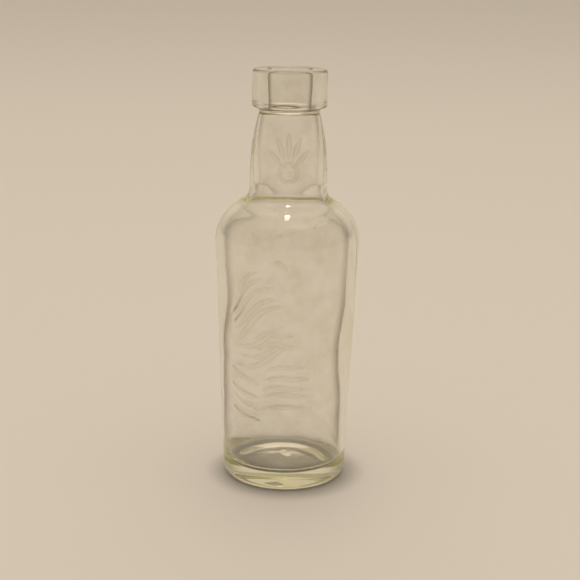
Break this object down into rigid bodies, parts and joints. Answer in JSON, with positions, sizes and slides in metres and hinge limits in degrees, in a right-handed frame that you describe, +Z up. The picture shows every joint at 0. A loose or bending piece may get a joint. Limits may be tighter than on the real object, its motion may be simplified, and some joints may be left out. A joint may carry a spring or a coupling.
{
  "type": "glass bottle",
  "caption": "Small antique clear glass bottle with a tapering round body, round shoulder, swelling neck and a tall applied collar with a straight open bore.",
  "frame": {"origin": "centre of the ring that the bottle rests on, at the height of the surface it stands on", "axes": "+Z up along the bottle's axis towards the mouth; the decorated front faces -Y; the mould seams lie at +X and -X"},
  "size_m": [0.0504, 0.0505, 0.145],
  "materials": {
    "bottle_glass": "clear hand-blown glass with a faint yellow-green tint in the thick parts",
    "collar_glass": "clear tooled glass with a faint yellow-green tint"
  },
  "bodies": {
    "root": {"blown_bottle": "bottle_glass", "applied_collar": "collar_glass"}
  },
  "joints": []
}
